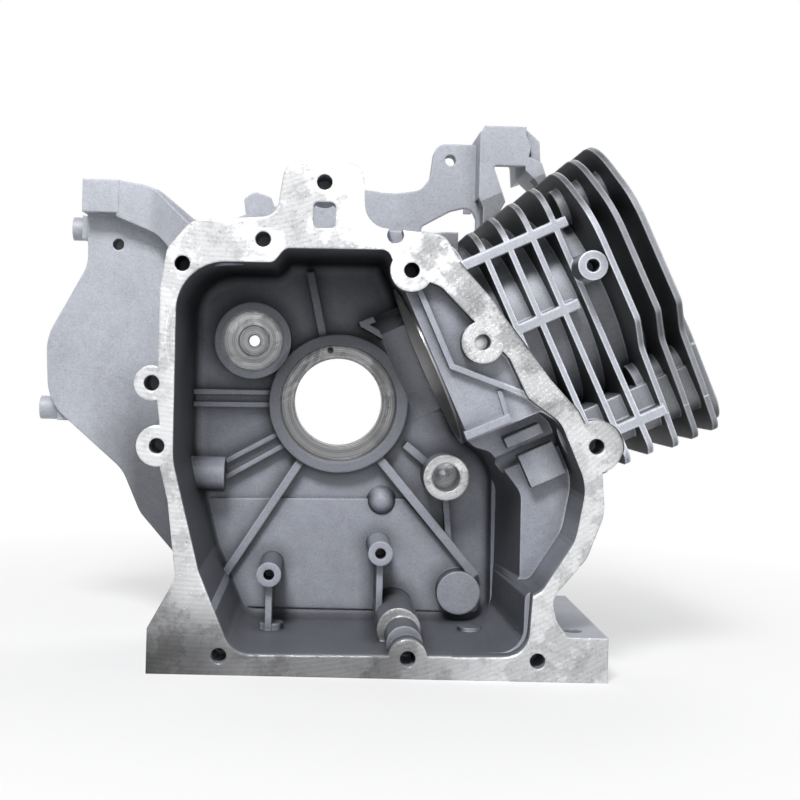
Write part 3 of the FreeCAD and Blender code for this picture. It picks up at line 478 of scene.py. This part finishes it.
class Spot:
    """A point of the casting: its place, the way it faces, and the zones that it lies in."""

    def __init__(self, look):
        self.point, self.x, self.y, self.z = look.place()
        self.nx, self.ny, self.nz = look.facing()
        self.along, self.up = tilted(self.x, self.z)
        self.front = (-self.ny).above(*FRONT_FACING)
        self.top = self.nz.above(*TOP_FACING)
        self.crank = ring(self.x, self.z, CRANK)
        self.seat = self.crank.below(SEAT_R + BORE_MARGIN) * self.y.above(STEP)
        balancer = ring(self.x, self.z, BALANCER)
        self.balancer = balancer.below(BALANCER_R + BORE_MARGIN) * self.y.above(BALANCER_Y + STEP)
        self.inside = self.inner_mask()
        self.cut = self.machined_mask()
        self.dark = self.dark_mask()

    def machined_mask(self):
        """One on the faces and bores that are cut after casting, zero on the cast skin."""
        x, y, z = self.x, self.y, self.z
        cam = ring(x, z, CAM)
        places = (
            self.along.above(DECK - FACE_MARGIN),
            self.seat,
            self.balancer * y.below(BORE_END),
            cam.below(CAM_BOSS_R + FACE_MARGIN) * y.near(CAM_Y, FACE_MARGIN),
            cam.below(CAM_R + BORE_MARGIN) * y.above(CAM_Y - BOSS_MARGIN) * y.below(BORE_END),
            ring(x, z, DRAIN).below(DRAIN_R + FACE_MARGIN) * y.near(DRAIN_Y, FACE_MARGIN),
            z.below(BASE_Z + FACE_MARGIN) * (-self.nz).above(FLAT_FACING),
            z.near(BRACKET_TOP, FACE_MARGIN) * self.nz.above(FLAT_FACING),
        )
        mask = y.near(JOINT_Y, FACE_MARGIN) * (-self.ny).above(FLAT_FACING)
        for place in places:
            mask = mask.most(place)
        return mask

    def inner_mask(self):
        """One on the skin inside the case, zero on its outer side."""
        x, y, z = self.x, self.y, self.z
        reach = ring(x, z, CASE_MIDDLE)
        inward = ((x - CASE_MIDDLE[0]) * self.nx + (z - CASE_MIDDLE[1]) * self.nz) / reach
        skin = reach.below(CORE_R).most(inward.below(*INWARD)).most(self.front)
        case = x.above(CASE_X[0]) * x.below(CASE_X[1]) * z.above(CASE_Z[0]) * z.below(CASE_Z[1])
        feet = z.below(FEET_TOP) * x.below(FEET_X[0]).most(x.above(FEET_X[1]))
        deep = y.above(*INSIDE_FRONT) * y.below(REAR_WALL_Y + REAR_WALL_MARGIN)
        return skin * case * (1.0 - feet) * deep * self.along.below(*INSIDE_END)

    def dark_mask(self):
        """One where the fins' sides get painted shade, less on the webs between the rails, zero elsewhere.
        """
        block = self.along.above(*BLOCK_START) * self.y.below(BLOCK_BACK) * self.up.below(BLOCK_TOP)
        fin_side = tilted(self.nx, self.nz)[0].abs().above(*ALONG_FACING)
        webs = block * (1.0 - fin_side) * self.up.below(*WEB_TOP) * self.along.below(*WEB_END)
        return block * (1.0 - webs * WEB_SHARE)

    def painted_shade(self, crevice):
        """What the painted shade leaves of the skin's brightness: on the walls, bottom, rear wall and upper
        part inside, on the seat boss and the bore mouth, in the hollow by the drum, and in creases.
        """
        x, y, z, inside = self.x, self.y, self.z, self.inside
        hollow = self.front * y.above(REAR_WALL_Y) * x.below(*HOLLOW_END)
        hollow = hollow * rise(x, *HOLLOW_RUN) * rise(-z, *HOLLOW_DROP)
        mouth = self.along.above(*MOUTH_START) * self.up.above(*MOUTH_LOW) * y.above(*MOUTH_FRONT)
        crevice = crevice * (1.0 - inside * x.above(*CHEST_START) * CHEST_SHARE)
        return faded(
            (inside * (1.0 - self.front) * (1.0 - self.top), WALLS_SHADE),
            (inside * self.top * z.below(*BOTTOM_TOP), BOTTOM_SHADE),
            (inside * y.near(REAR_WALL_Y, REAR_WALL_REACH), REAR_WALL_SHADE),
            (inside * y.above(*HIGH_DEPTH) * rise(z, *HIGH_RISE), HIGH_SHADE),
            (inside * self.crank.below(*SEAT_BOSS), SEAT_BOSS_SHADE),
            (inside * mouth, MOUTH_SHADE),
            (hollow, HOLLOW_SHADE),
            (crevice, lerp(inside, *CREVICE_SHARE)),
        )

    def wear(self):
        """What oil and wear leave of the brightness of a cut face, and where it is worn."""
        x, z = self.x, self.z
        corner = z.below(*OIL_CORNER_LOW) * x.below(*OIL_CORNER_RIGHT) * OIL_CORNER_SHARE
        oily = (z.below(*OIL_LOW) * x.below(*OIL_RIGHT)).most(corner)
        worn = ring(x, z, WORN).below(*WORN_R)
        foot = z.below(*FOOT_LOW) * x.below(*FOOT_RIGHT)
        return faded((oily, OIL_SHARE), (worn, WORN_SHARE), (foot, FOOT_SHARE)), worn


def casting_look(sizes):
    """Cast skin outside, the skin inside painted darker as shade, and cut metal on the machined faces."""
    look = finish("cast_aluminium")
    spot = Spot(look)
    x, z, point = spot.x, spot.z, spot.point

    bevel = look.node("ShaderNodeBevel", {"samples": BEVEL_SAMPLES}, Radius=sizes.edge).outputs[0]
    normals = {0: look.true_normal(), 1: bevel}
    turned = look.node("ShaderNodeVectorMath", {"operation": "DOT_PRODUCT"}, normals)
    edge = ((1.0 - look.number(turned.outputs["Value"])) * EDGE_GAIN).clamped()
    # Painted shade in creases: darker where ambient occlusion finds the surface closed in
    open_share = look.node("ShaderNodeAmbientOcclusion", {"samples": CREVICE_SAMPLES},
                           Distance=CREVICE_REACH / MM_PER_METRE).outputs["AO"]
    crevice = (1.0 - look.number(open_share)).above(*CREVICE)

    medium = look.noise(point, *MEDIUM)
    grain = look.noise(point, sizes.grain * MM_PER_METRE, *GRAIN)
    specks = look.noise(point, *SPECKS).above(*SPECK_STEP)
    level = lerp(look.noise(point, *COARSE), *COARSE_LEVEL) * lerp(medium, *MEDIUM_LEVEL)
    # Edges lighter, partly wear and partly painted highlight; the front faces of the shaded fins get
    # painted light
    worn_and_lit_rims = edge * lerp(spot.dark, LIGHT_RIM, DARK_RIM) + spot.dark * spot.dark * spot.front * FIN_FRONT_LIGHT
    level = level * lerp(grain, *GRAIN_LEVEL) * (worn_and_lit_rims + 1.0) * faded((specks, SPECK_SOOT))
    # Painted shade: darker inside the case, in the hollow by the drum and in creases
    level = level * spot.painted_shade(crevice)
    # The fins' sides take the painted shade colour
    skin = look.blend(spot.dark, (*sizes.color, 1.0), (*sizes.block, 1.0))
    # The skin inside takes its darker colour as painted shade
    skin = look.tint(look.blend(spot.inside, skin, (*sizes.inside, 1.0)), level)

    scratches = look.node("ShaderNodeMapping", {"vector_type": "POINT"}, Vector=point, Scale=SCRATCH_SCALE)
    marks = look.noise(scratches.outputs[0], *MARKS)
    clouds = look.noise(point, *CLOUDS).above(*CLOUD_STEP)
    stains = look.noise(point, *STAINS).above(*STAIN_STEP)
    pits = look.noise(point, *PITS).above(*PIT_STEP)
    sparks = look.noise(point, *SPARKS).above(*SPARK_STEP)
    kept, worn = spot.wear()
    shine = lerp(clouds, *CLOUD_LEVEL) * lerp(stains, *STAIN_LEVEL) * lerp(marks, *MARK_LEVEL) * kept
    shine = shine * ((ring(x, z, CUTTER) * (math.tau / CUTTER_PITCH)).sin() * CUTTER_DEPTH + 1.0)
    shine = shine * lerp(look.noise(point, *BROAD), *BROAD_LEVEL) * faded((pits, lerp(clouds, *PIT_SHARE)))
    # Painted highlights: a light line along the cut edges, and glints in the worn patch
    shine = shine * (edge * lerp(sparks, *EDGE_SPARKS) + 1.0)
    shine = shine * (1.0 + sparks * worn * WORN_SPARKS)
    turning = turned_rings(x, z, CRANK) * turned_rings(x, z, BALANCER) * turned_rings(x, z, CAM)
    shine = lerp(spot.seat, shine, turning * SEAT_SHINE)
    shine = lerp(spot.balancer, shine, turning * BALANCER_SHINE)
    bright = look.tint((*sizes.machined, 1.0), shine * turning)

    dull = (1.0 - clouds) * CLOUD_DULL + (1.0 - stains) * STAIN_DULL
    skin_roughness, cut_roughness = lerp(medium, *SKIN_ROUGHNESS), lerp(marks, *CUT_ROUGHNESS) + dull
    height = grain * lerp(spot.cut, *GRAIN_RELIEF) + medium * lerp(spot.cut, *MEDIUM_RELIEF)
    height = height - pits * spot.cut * PIT_RELIEF
    metal = lerp(spot.cut, SKIN_METAL - spot.inside * INSIDE_METAL, CUT_METAL)
    inputs = look.surface.inputs
    look.feed(inputs["Base Color"], look.blend(spot.cut, skin, bright))
    look.feed(inputs["Roughness"], lerp(spot.cut, skin_roughness, cut_roughness))
    look.feed(inputs["Metallic"], metal)
    look.feed(inputs["Normal"], look.relief(RELIEF_STRENGTH, RELIEF_HEIGHT, height, Normal=bevel))
    look.feed(inputs["Specular IOR Level"], SPECULAR)
    return look.owner


def liner_look(sizes):
    """Honed iron: crossing fine marks around the bore."""
    look = finish("honed_iron")
    point, x, y, z = look.place()
    along, up = tilted(x, z)
    turn = up.run("ARCTAN2", y + BORE_Y) * BORE_R
    waves = math.tau / (sizes.hone * MM_PER_METRE)
    first = ((along * HONE_RUN + turn * HONE_TURN) * waves).sin()
    second = ((along * HONE_RUN - turn * HONE_TURN) * waves).sin()
    cross = first * second * 0.5 + 0.5
    cloud = look.noise(point, *IRON_CLOUDS)
    level = lerp(cross, *CROSS_LEVEL) * lerp(cloud, *IRON_LEVEL)
    inputs = look.surface.inputs
    look.feed(inputs["Base Color"], look.tint((*sizes.color, 1.0), level))
    look.feed(inputs["Roughness"], lerp(cloud, *IRON_ROUGHNESS))
    look.feed(inputs["Metallic"], 1.0)
    look.feed(inputs["Normal"], look.relief(HONE_STRENGTH, HONE_HEIGHT, cross))
    return look.owner


def dress(node, material):
    """Gives every material slot of a CAD node one material."""
    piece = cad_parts[node]
    if not piece.material_slots:
        raise RuntimeError(node + " has no material slot")
    for slot in piece.material_slots:
        slot.material = material


class DressCrankcase(bpy.types.Operator):
    """Gives the casting its skin and its machined faces"""
    bl_idname = "crankcase.dress_casting"
    bl_label = "Dress the casting"

    def execute(self, context):
        dress("crankcase", casting_look(context.scene.crankcase_casting))
        return {"FINISHED"}


class DressLiner(bpy.types.Operator):
    """Gives the liner its honed bore"""
    bl_idname = "crankcase.dress_liner"
    bl_label = "Dress the liner"

    def execute(self, context):
        dress("cylinder_liner", liner_look(context.scene.crankcase_liner))
        return {"FINISHED"}


def background_rays(look):
    """One for the rays that should meet the white background: seen directly, in metal or through glass."""
    rays = look.node("ShaderNodeLightPath").outputs
    seen = look.number(rays["Is Camera Ray"])
    return seen.most(look.number(rays["Is Glossy Ray"])).most(look.number(rays["Is Transmission Ray"]))


def floor_look(color):
    """A pale floor that keeps the shadow near the part and goes over to white further out."""
    look = finish("floor")
    look.feed(look.surface.inputs["Base Color"], (*color, 1.0))
    look.feed(look.surface.inputs["Roughness"], FLOOR_ROUGHNESS)
    _, x, y, _ = look.place()
    white_share = lerp(rise(ring(x, y, FLOOR_MIDDLE), *FLOOR_FADE), *FLOOR_WHITE)
    white = look.node("ShaderNodeEmission", Color=WHITE, Strength=1.0)
    mixed = look.mix(white_share * background_rays(look), look.surface.outputs[0], white.outputs[0])
    look.feed(look.out.inputs["Surface"], mixed)
    return look.owner


def studio_world(strength):
    """Soft light from all around, in front of a white background."""
    look = Look(bpy.data.worlds.new("studio"))
    white = look.node("ShaderNodeBackground", Color=WHITE, Strength=1.0)
    lit = look.node("ShaderNodeBackground", Color=SKY, Strength=strength)
    mixed = look.mix(background_rays(look), lit.outputs[0], white.outputs[0])
    look.node("ShaderNodeOutputWorld", Surface=mixed)
    return look.owner


def add_object(name, data):
    thing = bpy.data.objects.new(name, data)
    bpy.context.scene.collection.objects.link(thing)
    return thing


def add_floor(color):
    """A square floor under the part."""
    shape = bmesh.new()
    level = Matrix.Translation((0.0, 0.0, cad_box[0][2]))
    bmesh.ops.create_grid(shape, x_segments=1, y_segments=1, size=FLOOR_HALF, matrix=level)
    mesh = bpy.data.meshes.new("floor")
    shape.to_mesh(mesh)
    shape.free()
    mesh.materials.append(floor_look(color))
    floor = add_object("floor", mesh)


def add_lamp(name, place, size, power):
    """A rectangular lamp that points at the middle of the part."""
    data = bpy.data.lights.new(name, "AREA")
    data.shape = "RECTANGLE"
    data.size, data.size_y = size
    data.energy = power
    thing = add_object(name, data)
    thing.location = place
    thing.rotation_euler = (-Vector(place)).to_track_quat("-Z", "Y").to_euler()


def add_camera(lens):
    """The camera that took the photograph."""
    turn, tilt, roll = CAMERA_TURN
    back = Vector((math.sin(turn) * math.cos(tilt), -math.cos(turn) * math.cos(tilt), math.sin(tilt)))
    right = (-back).cross(Vector((0, 0, 1))).normalized()
    up = right.cross(-back)
    level, lean = math.cos(roll), math.sin(roll)
    right, up = right * level + up * lean, up * level - right * lean
    data = bpy.data.cameras.new("camera")
    data.lens = lens
    data.sensor_width = SENSOR
    data.shift_x, data.shift_y = CAMERA_SHIFT
    data.clip_start = CLIP_START
    thing = add_object("camera", data)
    turned = Matrix((right, up, back)).transposed().to_4x4()
    thing.matrix_world = Matrix.Translation(CAMERA_PLACE) @ turned
    bpy.context.scene.camera = thing


class SetStage(bpy.types.Operator):
    """Sets the floor, the lamps, the world and the camera"""
    bl_idname = "crankcase.set_stage"
    bl_label = "Set the stage"

    def execute(self, context):
        sizes = context.scene.crankcase_stage
        add_floor(sizes.floor)
        context.scene.world = studio_world(SKY_STRENGTH * sizes.strength)
        for name, (place, size, power) in LAMPS.items():
            add_lamp(name, place, size, power * sizes.strength)
        add_camera(sizes.lens)
        context.scene.view_settings.view_transform = "Standard"
        return {"FINISHED"}


GROUPS = {
    "crankcase_casting": (CastingSizes, DressCrankcase),
    "crankcase_liner": (LinerSizes, DressLiner),
    "crankcase_stage": (StageSizes, SetStage),
}


class CrankcasePanel(bpy.types.Panel):
    """Lists the steps that dress the model"""
    bl_idname = "VIEW3D_PT_crankcase"
    bl_label = "Crankcase"
    bl_space_type = "VIEW_3D"
    bl_region_type = "UI"
    bl_category = "Crankcase"

    def draw(self, context):
        for name, (_, operator) in GROUPS.items():
            group = getattr(context.scene, name)
            for prop in group.__annotations__:
                self.layout.prop(group, prop)
            self.layout.operator(operator.bl_idname)


CLASSES = (*(kind for pair in GROUPS.values() for kind in pair), CrankcasePanel)


def register():
    for kind in CLASSES:
        bpy.utils.register_class(kind)
    for name, (sizes, _) in GROUPS.items():
        setattr(bpy.types.Scene, name, PointerProperty(type=sizes))


def unregister():
    for name in GROUPS:
        delattr(bpy.types.Scene, name)
    for kind in reversed(CLASSES):
        bpy.utils.unregister_class(kind)


def main():
    register()
    bpy.ops.crankcase.set_stage()
    bpy.ops.crankcase.dress_casting()
    bpy.ops.crankcase.dress_liner()


if __name__ == "__main__":
    main()
